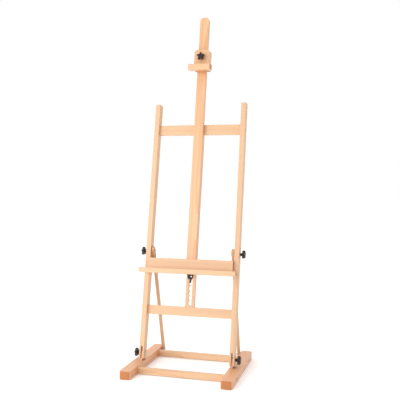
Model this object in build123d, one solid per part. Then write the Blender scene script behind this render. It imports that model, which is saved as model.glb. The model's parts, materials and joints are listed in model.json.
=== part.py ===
from build123d import *
import os
from math import cos, radians, sin

# ----------------------------------------------------------------------------------------------
# Wooden H-frame studio easel, in millimetres, +Z up.
#
# World frame: X runs across the easel, -Y is the side the artist stands on, Z = 0 is the floor,
# and the origin lies under the middle of the whole easel.
# Frame coordinates: the two posts lean back together, so everything on them is drawn upright as
# (x, off, s), where s is the height along a post above the runners' tops and off is the depth
# behind the posts' front faces. tilted() then leans it back into place.
# ----------------------------------------------------------------------------------------------

# Base
BASE_W = 540.0
RUNNER_W, RUNNER_H, RUNNER_L = 55.3, 39.6, 514.8
RUNNER_CORNER_R = 12.0
BASE_RAIL_T, BASE_RAIL_H, BASE_RAIL_Z = 17.4, 30.2, 3.0
FRONT_RAIL_Y, REAR_RAIL_Y = 104.4, 423.1        # middles of the rails, behind the runners' front ends

# Leaning frame
TILT = 10.5                                     # degrees behind upright, as stored
POST_FRONT_Y = 182.7                            # posts' front face at the runners' tops
POST_W, POST_D, POST_TOP = 25.4, 42.2, 1318.0
POST_OUTER_X = 241.4
POST_FOOT = 12.0                                # gap between a runner and a post's lower end
RAIL_T, RAIL_OFF = 18.0, 16.2
UPPER_RAIL_S, UPPER_RAIL_H = 1154.8, 51.8
LOWER_RAIL_S, LOWER_RAIL_H = 230.8, 45.3

# Foot hinge of each post
PIVOT_S, PIVOT_OFF = 40.0, 21.1
TONGUE_T, TONGUE_R, TONGUE_DEPTH, TONGUE_BASE = 8.4, 12.0, 30.0, 46.0
FORK_GAP, FORK_TOP = 9.0, 72.0

# Struts
STRUT_T, STRUT_W = 13.0, 20.0
STRUT_INNER_X = 200.5
STRUT_FOOT_Y, STRUT_FOOT_Z = 475.8, 30.0
STRUT_TOP_PAST = 26.0                           # wood above the clamp bolt
CLAMP_S = 545.0
SLOT_UP, SLOT_DOWN, SLOT_W = 15.0, 57.0, 8.6    # clamp slot above and below the bolt

# Mast and the slotted stile that guides it
MAST_W, MAST_T, MAST_OFF = 47.9, 23.0, -7.1
MAST_BOTTOM, MAST_TOP, MAST_CORNER_R = 435.0, 1787.5, 19.0
STILE_W = 47.9
SLOT_LOW, SLOT_HIGH, SLOT_RIGHT, SLOT_LEFT = 284.0, 1130.0, 8.0, -4.0
TOOTH_PITCH, TOOTH_DEPTH = 24.5, 7.0
TOOTH_LAND, TOOTH_BACK, TOOTH_EDGE_R = 3.0, 9.0, 0.8  # flat tip, height of the root, cutter's rounding
TOOTH_FIRST, TOOTH_COUNT = 287.5, 25            # lowest ledge and number of notches

# Tray
BOARD_W, BOARD_H, BOARD_T, BOARD_OFF = 431.0, 76.0, 17.6, -16.0
SHELF_W, SHELF_D, SHELF_T = 487.0, 60.0, 13.5
LIP_T, LIP_H = 10.0, 22.5

# Canvas holder on the mast
HOLDER_W, HOLDER_FRONT, HOLDER_LOW, HOLDER_HIGH = 80.0, -27.0, 1496.0, 1601.0
HOLDER_PLATE_T, HOLDER_CORNER_R = 6.0, 15.0
LEDGE_W, LEDGE_D, LEDGE_H, LEDGE_DROOP = 114.0, 46.0, 30.5, 12.0
LEDGE_S = 1499.5                                # middle of the ledge's root on the block
HOLDER_KNOB_S = 1557.0

# Star knobs
KNOB_R, KNOB_T, KNOB_HUB_R, KNOB_HUB_L, KNOB_LOBES = 21.0, 15.0, 6.5, 10.0, 5
INSERT_R, INSERT_L = 4.5, 14.0

# Hardware
BOLT_R, WASHER_R, WASHER_T = 3.0, 8.0, 1.5
HEAD_R, HEAD_STANDS = 6.0, 3.0                  # a joint bolt's head, and how deep its top lies in the wood
RUN_FIT = 0.06                                  # radial clearance of a pin that turns
DRILL_FIT = 0.05                                # radial clearance of a screw or bolt in its drilled hole
SLIDE_GAP = 0.3                                 # clearance of parts that slide on wood
SCREW_R, SCREW_HEAD_R = 2.0, 4.0
BARREL_R, BARREL_L = 5.0, 14.0

# Derived values
LEAN = radians(TILT)
POST_X = POST_OUTER_X - POST_W / 2
POST_INNER_X = POST_OUTER_X - POST_W
RUNNER_INNER_X = BASE_W / 2 - RUNNER_W
RAIL_MID = RAIL_OFF + RAIL_T / 2
MAST_BACK = MAST_OFF + MAST_T
BOARD_BACK = BOARD_OFF + BOARD_T
SLOT_MID = (SLOT_LEFT + SLOT_RIGHT) / 2
ORIGIN_Y = (POST_FRONT_Y + MAST_TOP * sin(LEAN) + MAST_BACK * cos(LEAN)) / 2
HOME = Pos(0, -ORIGIN_Y, 0)
LEANING = HOME * Location((0, POST_FRONT_Y, RUNNER_H), (-TILT, 0, 0))
ALONG_X = Rot(0, 90, 0)                         # turns an upright shape's axis to +X
ALONG_BACK = Rot(-90, 0, 0)                     # turns an upright shape's axis to +Y, or +off
FORWARDS = Rot(90, 0, 0)                        # turns an upright shape's axis to -Y, or -off
SIDES = {"left": -1, "right": 1}

os.makedirs("parts", exist_ok=True)


# ----------------------------------------------------------------------------------------------
# Helpers
# ----------------------------------------------------------------------------------------------

def leaning_point(off, s):
    """World Y and Z of a point given in frame coordinates."""
    y = POST_FRONT_Y + s * sin(LEAN) + off * cos(LEAN)
    return y, RUNNER_H + s * cos(LEAN) - off * sin(LEAN)


def slab(x, y, z):
    """A box between three (low, high) pairs."""
    size = [high - low for low, high in (x, y, z)]
    middle = [(high + low) / 2 for low, high in (x, y, z)]
    return Pos(*middle) * Box(*size)


def centred(width, y, z):
    """A box of a given width, centred on X = 0."""
    return slab((-width / 2, width / 2), y, z)


def eased(shape, axis, radius):
    """Rounds every edge that runs along one axis."""
    return fillet(shape.edges().filter_by(axis), radius)


def softened(shape, axis, radius):
    """Rounds the outlines of the two faces at the ends of one axis."""
    faces = shape.faces().sort_by(axis)
    return fillet(faces[0].outer_wire().edges() + faces[-1].outer_wire().edges(), radius)


def rod(radius, length, place):
    """A round bar that starts at a place and runs along the place's own +Z."""
    return place * Cylinder(radius, length, align=(Align.CENTER, Align.CENTER, Align.MIN))


def wood_screw(length, grow=0.0):
    """A countersunk screw, head flush at Z = 0 and shank along +Z; grow widens it into its hole."""
    head = Cone(SCREW_HEAD_R + grow, SCREW_R + grow, 3.0, align=(Align.CENTER, Align.CENTER, Align.MIN))
    shank = Cylinder(SCREW_R + grow, length + grow, align=(Align.CENTER, Align.CENTER, Align.MIN))
    drive = Pos(0, 0, 0.6) * (Box(4.2, 0.9, 1.2) + Box(0.9, 4.2, 1.2))
    return head + shank if grow else head + shank - drive


def cap_bolt(length, grow=0.0):
    """A joint bolt: a flat head from Z = 0 to 4 with a hexagon socket, and its shank beyond."""
    head = Cylinder(HEAD_R + grow, 4.0, align=(Align.CENTER, Align.CENTER, Align.MIN))
    shank = Cylinder(BOLT_R + grow, length + grow, align=(Align.CENTER, Align.CENTER, Align.MIN))
    socket = extrude(RegularPolygon(2.3, 6), 2.5)
    return head + shank if grow else head + shank - socket


def drilled(shape, places, cutter):
    """A shape less a cutter set at each of several places."""
    for place in places:
        shape -= place * cutter
    return shape


def counterbore(place):
    """The shallow recess that a joint bolt's head stands in."""
    return rod(HEAD_R + 0.6, HEAD_STANDS, place * Pos(0, 0, -HEAD_STANDS))


def barrel_nut(place, bolt_hole):
    """A cross-drilled barrel nut that starts at a place, with a driver slot in its far end."""
    slot = place * Pos(0, 0, BARREL_L) * Box(1.4 * BARREL_R, 1.2, 1.6)
    return rod(BARREL_R, BARREL_L, place) - bolt_hole * Cylinder(BOLT_R + DRILL_FIT, 3 * BARREL_R) - slot


def washer(place, thickness=WASHER_T):
    """A flat washer that starts at a place and runs along the place's own +Z."""
    return rod(WASHER_R, thickness, place) - rod(BOLT_R + DRILL_FIT, thickness, place)


def save(name, shape):
    """Writes one node."""
    if isinstance(shape, (list, tuple)):
        shape = Compound(children=list(shape))
    shape.label = name
    export_step(shape, f"parts/{name}.step")


# ----------------------------------------------------------------------------------------------
# Base: two runners, two rails and the hinge tongues
# ----------------------------------------------------------------------------------------------

BASE_BOLT_L = 90.0
RAIL_BARREL_IN = 22.0                           # barrel nut's distance from the rail's end
TONGUE_SCREW_Z, TONGUE_SCREW_L = 26.0, 20.0
TONGUE_SCREW_YS = (-15.0, 13.0)                 # the two screws, from the hinge's axis
FOOT_BOLT_IN, FOOT_BORE = 32.0, 36.0            # the strut's bolt in the runner, and its bore
FOOT_HEAD_X = STRUT_INNER_X - WASHER_T - SLIDE_GAP
FOOT_SPACER_X, FOOT_SPACER_T = STRUT_INNER_X + STRUT_T + 0.2, 1.0
DOME_R, DOME_H = 7.5, 3.5                       # a through bolt's domed head
PIVOT_Y, PIVOT_Z = leaning_point(PIVOT_OFF, PIVOT_S)


def base_rail_bolt_places(side):
    """Heads of the two bolts in one runner's outer face, pointing inwards."""
    z = BASE_RAIL_Z + BASE_RAIL_H / 2
    turn = Rot(0, -90 * side, 0)
    return [HOME * Pos(side * (BASE_W / 2 - HEAD_STANDS), y, z) * turn for y in (FRONT_RAIL_Y, REAR_RAIL_Y)]


def tongue_screw_places(side):
    """Heads of the two screws in one runner's inner face, pointing outwards into the tongue."""
    turn = Rot(0, 90 * side, 0)
    x = side * RUNNER_INNER_X
    return [HOME * Pos(x, PIVOT_Y + dy, TONGUE_SCREW_Z) * turn for dy in TONGUE_SCREW_YS]


def tongue(side, grow=0.0):
    """The upright plate on a runner that a post's fork straddles, round about the hinge bolt."""
    half = TONGUE_BASE / 2 + grow
    foot = RUNNER_H - TONGUE_DEPTH - grow
    outline = Polygon(
        (-half, foot), (half, foot), (half, RUNNER_H), (TONGUE_R + grow, PIVOT_Z),
        (-TONGUE_R - grow, PIVOT_Z), (-half, RUNNER_H), align=None,
    )
    outline += Pos(0, PIVOT_Z) * Circle(TONGUE_R + grow)
    plate = extrude(Plane.YZ * outline, TONGUE_T / 2 + grow, both=True)
    return HOME * Pos(side * POST_X, PIVOT_Y, 0) * plate


def strut_foot_place(side, x):
    """A place on the strut foot's axis at a given distance from the middle, pointing outwards."""
    return HOME * Pos(side * x, STRUT_FOOT_Y, STRUT_FOOT_Z) * Rot(0, 90 * side, 0)


def runner(side):
    """One floor runner with its end corners rounded, drilled and mortised."""
    x = sorted((side * RUNNER_INNER_X, side * BASE_W / 2))
    bar = slab(x, (0, RUNNER_L), (0, RUNNER_H))
    bar = eased(bar, Axis.Z, RUNNER_CORNER_R)
    bar = HOME * fillet(bar.faces().sort_by(Axis.Z)[-1].edges(), 2.0)
    bar -= tongue(side, DRILL_FIT)
    for place in base_rail_bolt_places(side):
        bar -= place * cap_bolt(BASE_BOLT_L, DRILL_FIT) + counterbore(place)
    bar = drilled(bar, tongue_screw_places(side), wood_screw(TONGUE_SCREW_L, DRILL_FIT))
    return bar - rod(BOLT_R + DRILL_FIT, FOOT_BORE, strut_foot_place(side, RUNNER_INNER_X))


def base_rail(y):
    """A rail between the runners, cross-drilled for its barrel nuts."""
    bar = centred(2 * RUNNER_INNER_X, (-BASE_RAIL_T / 2, BASE_RAIL_T / 2), (0, BASE_RAIL_H))
    bar = eased(bar, Axis.X, 1.5)
    bar = HOME * Pos(0, y, BASE_RAIL_Z) * bar
    for side in SIDES.values():
        bar = drilled(bar, base_rail_bolt_places(side), cap_bolt(BASE_BOLT_L, DRILL_FIT))
        bar -= rod(BARREL_R + DRILL_FIT, BARREL_L, base_barrel_place(side, y))
    return bar


def base_barrel_place(side, y):
    """Where a barrel nut starts in the base rail at y, pointing back to the rail's rear face."""
    x = side * (RUNNER_INNER_X - RAIL_BARREL_IN)
    return HOME * Pos(x, y + BASE_RAIL_T / 2 - BARREL_L, BASE_RAIL_Z + BASE_RAIL_H / 2) * ALONG_BACK


def base_barrel_nut(side, y):
    """A cross-drilled barrel nut, level with the rail's rear face."""
    start = base_barrel_place(side, y)
    bolt_hole = HOME * Pos(side * (RUNNER_INNER_X - RAIL_BARREL_IN), y, BASE_RAIL_Z + BASE_RAIL_H / 2)
    return barrel_nut(start, bolt_hole * ALONG_X)


def hinge_tongue(side):
    """The tongue with its bolt hole and the pilot holes of its two screws."""
    plate = tongue(side) - Pos(side * POST_X, PIVOT_Y - ORIGIN_Y, PIVOT_Z) * ALONG_X * Cylinder(
        BOLT_R + RUN_FIT, 2 * TONGUE_T
    )
    plate = drilled(plate, tongue_screw_places(side), wood_screw(TONGUE_SCREW_L, DRILL_FIT))
    return plate


def strut_foot_bolt(side):
    """The bolt a strut turns on: a domed head inside, its shank through strut and into the runner."""
    start = strut_foot_place(side, FOOT_HEAD_X)
    shank = rod(BOLT_R, STRUT_T + WASHER_T + FOOT_BOLT_IN, start)
    return shank + start * domed_head()


def domed_head():
    """A shallow domed bolt head below Z = 0."""
    ball_r = (DOME_R**2 + DOME_H**2) / (2 * DOME_H)
    ball = Pos(0, 0, ball_r - DOME_H) * Sphere(ball_r)
    return ball & Cylinder(DOME_R, DOME_H, align=(Align.CENTER, Align.CENTER, Align.MAX))


def make_base():
    """Everything that stays on the floor."""
    for name, side in SIDES.items():
        save(f"runner_{name}", runner(side))
        save(f"hinge_tongue_{name}", hinge_tongue(side))
    save("front_base_rail", base_rail(FRONT_RAIL_Y))
    save("rear_base_rail", base_rail(REAR_RAIL_Y))
    sides = SIDES.values()
    save("base_rail_bolts", [p * cap_bolt(BASE_BOLT_L) for s in sides for p in base_rail_bolt_places(s)])
    save("base_barrel_nuts", [base_barrel_nut(s, y) for s in sides for y in (FRONT_RAIL_Y, REAR_RAIL_Y)])
    save("tongue_screws", [p * wood_screw(TONGUE_SCREW_L) for s in sides for p in tongue_screw_places(s)])
    save("strut_foot_bolts", [strut_foot_bolt(s) for s in sides])
    washers = ((FOOT_HEAD_X, WASHER_T), (FOOT_SPACER_X, FOOT_SPACER_T))
    save("strut_foot_washers", [washer(strut_foot_place(s, x), t) for s in sides for x, t in washers])


# ----------------------------------------------------------------------------------------------
# Leaning frame: posts, rails, slotted stile and their hardware
# ----------------------------------------------------------------------------------------------

FRAME_BOLT_L = 68.0
POST_TOP_R = 6.0
TENON_L, TENON_W, TENON_T = 12.0, 30.0, 6.0


def frame_bolt_place(side, s):
    """Head of a rail bolt in a post's outer face, pointing inwards."""
    return Pos(side * (POST_OUTER_X - HEAD_STANDS), RAIL_MID, s) * Rot(0, -90 * side, 0)


def frame_rail_levels():
    """Heights of the middles of the lower and upper rails."""
    return LOWER_RAIL_S + LOWER_RAIL_H / 2, UPPER_RAIL_S + UPPER_RAIL_H / 2


def post(side):
    """One post: forked foot for the hinge tongue, rounded top, holes for its bolts."""
    x = (side * POST_X - POST_W / 2, side * POST_X + POST_W / 2)
    bar = slab(x, (0, POST_D), (POST_FOOT, POST_TOP))
    bar = fillet(bar.edges().filter_by(Axis.X).group_by(Axis.Z)[-1], POST_TOP_R)
    bar = softened(bar, Axis.X, 2.0)
    bar -= Pos(side * POST_X, POST_D / 2, (POST_FOOT + FORK_TOP) / 2) * Box(
        FORK_GAP, 2 * POST_D, FORK_TOP - POST_FOOT + 0.001
    )
    for s in (PIVOT_S, CLAMP_S):
        bar -= Pos(side * POST_X, PIVOT_OFF, s) * ALONG_X * Cylinder(BOLT_R + DRILL_FIT, 2 * POST_W)
    for s in frame_rail_levels():
        place = frame_bolt_place(side, s)
        bar -= place * cap_bolt(FRAME_BOLT_L, DRILL_FIT) + counterbore(place)
    return bar


def frame_rail(low, height):
    """A rail between the posts, with barrel-nut holes and a mortise for the stile's tenon."""
    level = low + height / 2
    bar = centred(2 * POST_INNER_X, (RAIL_OFF, RAIL_OFF + RAIL_T), (low, low + height))
    bar = eased(bar, Axis.X, 1.5)
    for side in SIDES.values():
        bar -= frame_bolt_place(side, level) * cap_bolt(FRAME_BOLT_L, DRILL_FIT)
        bar -= rod(BARREL_R + DRILL_FIT, BARREL_L, frame_barrel_place(side, level))
    return bar - stile_blank(DRILL_FIT)


def frame_barrel_place(side, level):
    """Where a barrel nut starts in a frame rail, pointing back to the rail's rear face."""
    return Pos(side * (POST_INNER_X - RAIL_BARREL_IN), RAIL_OFF + RAIL_T - BARREL_L, level) * ALONG_BACK


def frame_barrel_nut(side, level):
    """A cross-drilled barrel nut, level with the rail's rear face."""
    start = frame_barrel_place(side, level)
    bolt_hole = Pos(side * (POST_INNER_X - RAIL_BARREL_IN), RAIL_MID, level) * ALONG_X
    return barrel_nut(start, bolt_hole)


def stile_blank(grow=0.0):
    """The stile's outline: its full width between the rails and a thin tenon into each."""
    low = LOWER_RAIL_S + LOWER_RAIL_H
    tenon = centred(
        TENON_W + 2 * grow, (RAIL_MID - TENON_T / 2 - grow, RAIL_MID + TENON_T / 2 + grow),
        (low - TENON_L - grow, UPPER_RAIL_S + TENON_L + grow),
    )
    if grow:
        return tenon
    return centred(STILE_W, (RAIL_OFF, RAIL_OFF + RAIL_T), (low, UPPER_RAIL_S)) + tenon


def tooth_slot():
    """Outline of the slot: a straight right side and saw teeth with level ledges on the left."""
    root = SLOT_LEFT - TOOTH_DEPTH
    points = [(SLOT_RIGHT, SLOT_LOW), (SLOT_RIGHT, SLOT_HIGH), (SLOT_LEFT, SLOT_HIGH)]
    for index in reversed(range(TOOTH_COUNT)):
        ledge = TOOTH_FIRST + index * TOOTH_PITCH
        points += [(SLOT_LEFT, ledge + TOOTH_PITCH - TOOTH_LAND), (root, ledge + TOOTH_BACK)]
        points += [(root, ledge), (SLOT_LEFT, ledge)]
    points.append((SLOT_LEFT, SLOT_LOW))
    outline = Polygon(*points, align=None)
    return fillet(outline.vertices(), TOOTH_EDGE_R)


def rack_stile():
    """The upright board between the rails, with the toothed slot the mast rides in."""
    board = eased(stile_blank(), Axis.Z, 1.0)
    front = Plane((0, RAIL_OFF - 1.0, 0), x_dir=(1, 0, 0), z_dir=(0, -1, 0))
    return board - extrude(front * tooth_slot(), -(RAIL_T + 2.0))


def through_bolt(side, s, inner_x):
    """A domed-head bolt from inside a post to the knob outside it."""
    place = Pos(side * inner_x, PIVOT_OFF, s) * Rot(0, 90 * side, 0)
    length = POST_OUTER_X + WASHER_T + INSERT_L - 2.0 - inner_x
    return rod(BOLT_R, length, place) + place * domed_head()


def knob_washer(side, s):
    """The washer between a post's outer face and its knob."""
    return washer(Pos(side * POST_OUTER_X, PIVOT_OFF, s) * Rot(0, 90 * side, 0))


PIVOT_HEAD_X = POST_INNER_X - WASHER_T
CLAMP_HEAD_X = STRUT_INNER_X - SLIDE_GAP - WASHER_T


def inner_washers(side):
    """Washers under the heads of the hinge bolt and the strut clamp bolt, and the strut's spacer."""
    turn = Rot(0, 90 * side, 0)
    hinge = washer(Pos(side * PIVOT_HEAD_X, PIVOT_OFF, PIVOT_S) * turn)
    clamp = washer(Pos(side * CLAMP_HEAD_X, PIVOT_OFF, CLAMP_S) * turn)
    spacer_t = POST_INNER_X - STRUT_INNER_X - STRUT_T - SLIDE_GAP
    spacer = washer(Pos(side * (POST_INNER_X - spacer_t), PIVOT_OFF, CLAMP_S) * turn, spacer_t)
    return [hinge, clamp, spacer]


# Guide key: a T-shaped block on the upper rail that runs in the groove in the mast's back
KEY_NECK_W, KEY_HEAD_W, KEY_NECK_D, KEY_HEAD_D = 8.0, 18.0, 4.0, 5.5
KEY_LOW, KEY_HIGH = UPPER_RAIL_S + 8.0, UPPER_RAIL_S + UPPER_RAIL_H - 8.0
GROOVE_TOP = 1312.0
KEY_SCREW_L = 22.0


def guide_section(low, high, grow, front_grow=0.0):
    """The T-shaped bar of the groove (grow = 0) or of the key (grow < 0), behind the mast's face."""
    neck_front = MAST_BACK - KEY_NECK_D
    neck = centred(KEY_NECK_W + 2 * grow, (neck_front + grow, RAIL_OFF), (low, high))
    head = centred(
        KEY_HEAD_W + 2 * grow, (neck_front - KEY_HEAD_D - grow, neck_front + grow + front_grow), (low, high)
    )
    return neck + head


def key_screw_places():
    """Heads of the key's two screws, at its front face and pointing back into the upper rail."""
    front = MAST_BACK - KEY_NECK_D - KEY_HEAD_D + SLIDE_GAP
    return [Pos(0, front, s) * ALONG_BACK for s in (KEY_LOW + 9.0, KEY_HIGH - 9.0)]


def mast_guide_key():
    """The hardwood T key with its two screw holes."""
    key = guide_section(KEY_LOW, KEY_HIGH, -SLIDE_GAP)
    key = drilled(key, key_screw_places(), wood_screw(KEY_SCREW_L, DRILL_FIT))
    return key


def make_frame():
    """Everything that leans with the posts, except the knobs."""
    sides = SIDES.values()
    levels = frame_rail_levels()
    for name, side in SIDES.items():
        save(f"post_{name}", LEANING * post(side))
    upper = frame_rail(UPPER_RAIL_S, UPPER_RAIL_H)
    upper = drilled(upper, key_screw_places(), wood_screw(KEY_SCREW_L, DRILL_FIT))
    save("upper_rail", LEANING * upper)
    save("lower_rail", LEANING * frame_rail(LOWER_RAIL_S, LOWER_RAIL_H))
    save("rack_stile", LEANING * rack_stile())
    save("mast_guide_key", LEANING * mast_guide_key())
    save("guide_key_screws", [LEANING * p * wood_screw(KEY_SCREW_L) for p in key_screw_places()])
    save("frame_rail_bolts", [
        LEANING * frame_bolt_place(side, s) * cap_bolt(FRAME_BOLT_L) for side in sides for s in levels
    ])
    save("frame_barrel_nuts", [LEANING * frame_barrel_nut(side, s) for side in sides for s in levels])
    save("hinge_bolts", [LEANING * through_bolt(side, PIVOT_S, PIVOT_HEAD_X) for side in sides])
    save("clamp_bolts", [LEANING * through_bolt(side, CLAMP_S, CLAMP_HEAD_X) for side in sides])
    save("inner_washers", [LEANING * w for side in sides for w in inner_washers(side)])
    save("knob_washers", [LEANING * knob_washer(side, s) for side in sides for s in (PIVOT_S, CLAMP_S)])


# ----------------------------------------------------------------------------------------------
# Struts
# ----------------------------------------------------------------------------------------------

CLAMP_Y, CLAMP_Z = leaning_point(PIVOT_OFF, CLAMP_S)
STRUT_SPAN = ((STRUT_FOOT_Y - CLAMP_Y) ** 2 + (CLAMP_Z - STRUT_FOOT_Z) ** 2) ** 0.5


def strut(side):
    """A strut, drawn upright from its foot bolt and turned to meet the clamp bolt."""
    length = STRUT_SPAN + STRUT_TOP_PAST - STRUT_W / 2
    outline = SlotCenterToCenter(length, STRUT_W, rotation=90)
    outline = Pos(0, length / 2) * outline
    outline -= Circle(BOLT_R + RUN_FIT)
    slot_length = SLOT_UP + SLOT_DOWN - SLOT_W
    slot_middle = STRUT_SPAN + (SLOT_UP - SLOT_DOWN) / 2
    outline -= Pos(0, slot_middle) * SlotCenterToCenter(slot_length, SLOT_W, rotation=90)
    bar = softened(extrude(Plane.YZ * outline, STRUT_T), Axis.X, 1.5)
    x = STRUT_INNER_X if side > 0 else -STRUT_INNER_X - STRUT_T
    lean = Vector(0, CLAMP_Y - STRUT_FOOT_Y, CLAMP_Z - STRUT_FOOT_Z).get_angle(Vector(0, 0, 1))
    return HOME * Pos(x, STRUT_FOOT_Y, STRUT_FOOT_Z) * Rot(lean, 0, 0) * bar


def make_struts():
    """The two rear struts."""
    for name, side in SIDES.items():
        save(f"strut_{name}", strut(side))


# ----------------------------------------------------------------------------------------------
# Star knobs: moulded star, round hub and a threaded metal insert
# ----------------------------------------------------------------------------------------------

def star_knob(bore_r):
    """A five-lobed knob whose hub starts at Z = 0, bored for its insert."""
    lobe_r = KNOB_R * 0.36
    star = Circle(KNOB_R * 0.66)
    for index in range(KNOB_LOBES):
        star += Rot(0, 0, 90 + index * 360 / KNOB_LOBES) * Pos(KNOB_R - lobe_r, 0) * Circle(lobe_r)
    head = Pos(0, 0, KNOB_HUB_L) * extrude(star, KNOB_T)
    head = fillet(head.faces().sort_by(Axis.Z)[-1].outer_wire().edges(), 2.5)
    hub = Cone(KNOB_HUB_R, KNOB_HUB_R + 2.0, KNOB_HUB_L, align=(Align.CENTER, Align.CENTER, Align.MIN))
    return head + hub - Cylinder(bore_r, INSERT_L, align=(Align.CENTER, Align.CENTER, Align.MIN))


def insert():
    """The threaded insert, open at the hub's end."""
    body = Cylinder(INSERT_R, INSERT_L, align=(Align.CENTER, Align.CENTER, Align.MIN))
    return body - Cylinder(BOLT_R + RUN_FIT, 2 * INSERT_L)


def knob_place(side, s):
    """Where a side knob's hub meets its washer."""
    return LEANING * Pos(side * (POST_OUTER_X + WASHER_T + 0.1), PIVOT_OFF, s) * Rot(0, 90 * side, 0)


def make_side_knobs():
    """The two hinge knobs and the two strut clamp knobs."""
    for level, s in (("hinge", PIVOT_S), ("clamp", CLAMP_S)):
        for name, side in SIDES.items():
            place = knob_place(side, s)
            save(f"{level}_knob_{name}", place * star_knob(INSERT_R))
            save(f"{level}_knob_insert_{name}", place * insert())


# ----------------------------------------------------------------------------------------------
# Mast carriage: mast, tray, guide and latch
# ----------------------------------------------------------------------------------------------

GUIDE_LOW, GUIDE_HIGH = MAST_BOTTOM + 14.0, MAST_BOTTOM + 74.0
GUIDE_BACK = RAIL_OFF + RAIL_T + SLIDE_GAP
KEEPER_T, KEEPER_W = 6.0, 38.0
BOARD_SCREW_L, GUIDE_SCREW_L, SHELF_SCREW_L = 28.0, 38.0, 40.0


def board_screw_places():
    """Heads of the four screws in the mast's back face, pointing forwards into the tray's board."""
    levels = (MAST_BOTTOM + 28.0, MAST_BOTTOM + 62.0)
    return [Pos(x, MAST_BACK, s) * FORWARDS for x in (-16.0, 16.0) for s in levels]


def shelf_screw_places():
    """Heads of the shelf's screws in the board's back face, pointing forwards."""
    xs = [-190.0, -95.0, 95.0, 190.0]
    return [Pos(x, BOARD_BACK, MAST_BOTTOM + SHELF_T / 2) * FORWARDS for x in xs]


def guide_screw_places():
    """Heads of the keeper plate's screws in its back face, pointing forwards."""
    back = GUIDE_BACK + KEEPER_T
    return [Pos(SLOT_MID, back, s) * FORWARDS for s in (GUIDE_LOW + 14, GUIDE_HIGH - 14)]


def mast():
    """The mast: rounded top, a rebate for the tray's board and the guide groove in its back."""
    outline = Rectangle(MAST_W, MAST_TOP - MAST_BOTTOM, align=(Align.CENTER, Align.MIN))
    outline = fillet(outline.vertices().group_by(Axis.Y)[-1], MAST_CORNER_R)
    face = Plane((0, MAST_OFF, MAST_BOTTOM), x_dir=(1, 0, 0), z_dir=(0, -1, 0))
    bar = softened(extrude(face * outline, -MAST_T), Axis.Y, 1.5)
    bar -= centred(MAST_W + 2, (MAST_OFF - 1, BOARD_BACK), (MAST_BOTTOM - 1, MAST_BOTTOM + BOARD_H))
    bar -= guide_section(GUIDE_HIGH + 10.0, GROOVE_TOP, 0.0, 0.001)
    bar = drilled(bar, board_screw_places(), wood_screw(BOARD_SCREW_L, DRILL_FIT))
    bar = drilled(bar, guide_screw_places(), wood_screw(GUIDE_SCREW_L, DRILL_FIT))
    bar = drilled(bar, bracket_screw_places(), wood_screw(BRACKET_SCREW_L, DRILL_FIT))
    return bar


def tray_back_board():
    """The upright board behind the tray, between the posts."""
    board = centred(BOARD_W, (BOARD_OFF, BOARD_BACK), (MAST_BOTTOM, MAST_BOTTOM + BOARD_H))
    board = fillet(board.edges(), 1.5)
    board = drilled(board, board_screw_places(), wood_screw(BOARD_SCREW_L, DRILL_FIT))
    board = drilled(board, shelf_screw_places(), wood_screw(SHELF_SCREW_L, DRILL_FIT))
    return board


def tray_shelf():
    """The flat of the tray, in front of the board."""
    shelf = centred(SHELF_W, (BOARD_OFF - SHELF_D, BOARD_OFF), (MAST_BOTTOM, MAST_BOTTOM + SHELF_T))
    shelf = eased(shelf, Axis.Y, 2.0)
    shelf = drilled(shelf, shelf_screw_places(), wood_screw(SHELF_SCREW_L, DRILL_FIT))
    return shelf


def tray_front_lip():
    """The strip along the tray's front edge that keeps brushes in."""
    back = BOARD_OFF - SHELF_D
    lip = centred(SHELF_W, (back - LIP_T, back), (MAST_BOTTOM, MAST_BOTTOM + LIP_H))
    lip = eased(lip, Axis.Y, 3.0)
    front = lip.faces().sort_by(Axis.Y)[0]
    return fillet(front.outer_wire().edges(), 1.5)


def guide_block():
    """The block that runs in the stile's slot."""
    x = (SLOT_LEFT + SLIDE_GAP, SLOT_RIGHT - SLIDE_GAP)
    block = slab(x, (MAST_BACK, GUIDE_BACK), (GUIDE_LOW, GUIDE_HIGH))
    block = drilled(block, guide_screw_places(), wood_screw(GUIDE_SCREW_L, DRILL_FIT))
    return block


def guide_keeper():
    """The plate behind the stile that holds the guide block in."""
    plate = centred(KEEPER_W, (GUIDE_BACK, GUIDE_BACK + KEEPER_T), (GUIDE_LOW, GUIDE_HIGH))
    plate = Pos(SLOT_MID, 0, 0) * plate
    plate = eased(plate, Axis.Y, 5.0)
    plate = drilled(plate, guide_screw_places(), wood_screw(GUIDE_SCREW_L, DRILL_FIT))
    return plate


# Latch: a bent steel bracket under the mast, its pin, and a pawl that drops into the teeth
BRACKET_T, BRACKET_W, BRACKET_X, BRACKET_DROP = 2.0, 26.0, -4.0, 22.0
BRACKET_BACK, BRACKET_SCREW_L, BRACKET_SCREW_APART = 13.0, 16.0, 16.0
PAWL_X, PAWL_S = 2.0, MAST_BOTTOM - 9.0
PAWL_HUB_R, PAWL_REACH, PAWL_NOSE_R = 4.6, 14.0, 1.9
PAWL_CLEAR = 14.0                               # degrees between straight down and the nose, as drawn
TAB_X, TAB_S, TAB_R, TAB_T = -4.5, -28.0, 4.5, 2.4   # finger tab's end, from the pin
PIN_R, PIN_HEAD_R, PIN_HEAD_T, PIN_TAIL_R, PIN_TAIL_T = 2.0, 3.4, 1.5, 3.2, 1.2
PAWL_BACK = 32.7                                # where the pawl's hub ends, behind the posts' faces


def bracket_screw_places():
    """Heads of the bracket's two screws in its flange, pointing up into the mast."""
    middle = (BOARD_BACK + BRACKET_BACK - BRACKET_T) / 2
    half = BRACKET_SCREW_APART / 2
    return [Pos(BRACKET_X + dx, middle, MAST_BOTTOM - BRACKET_T) for dx in (-half, half)]


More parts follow.
